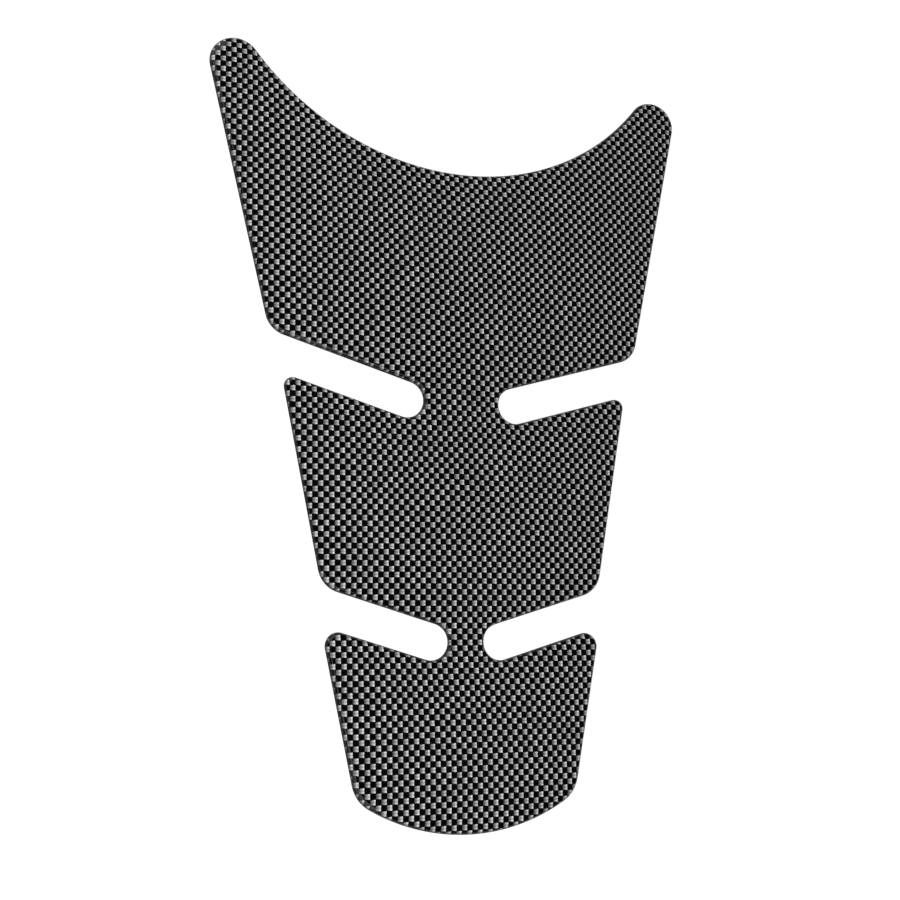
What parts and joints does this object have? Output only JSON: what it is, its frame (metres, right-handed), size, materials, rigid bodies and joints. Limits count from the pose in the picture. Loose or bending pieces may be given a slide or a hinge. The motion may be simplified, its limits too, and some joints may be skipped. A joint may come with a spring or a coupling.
{
  "type": "motorcycle tank pad",
  "caption": "Domed self-adhesive tank pad: tapering panels on one spine, parted by rising slots, with a concave top edge between rounded horns and a woven carbon look print.",
  "frame": {"origin": "on the flat adhesive back, under the middle of the pad's length and width", "axes": "+Z out of the dome, away from the tank; +Y along the spine towards the horns; +X across the panels to the right as seen from the front"},
  "size_m": [0.146, 0.215, 0.0031],
  "materials": {
    "domed_print": "carbon look checker weave printed in black and greys under a clear domed polyurethane surface"
  },
  "bodies": {
    "root": {"tank_pad": "domed_print"}
  },
  "joints": []
}
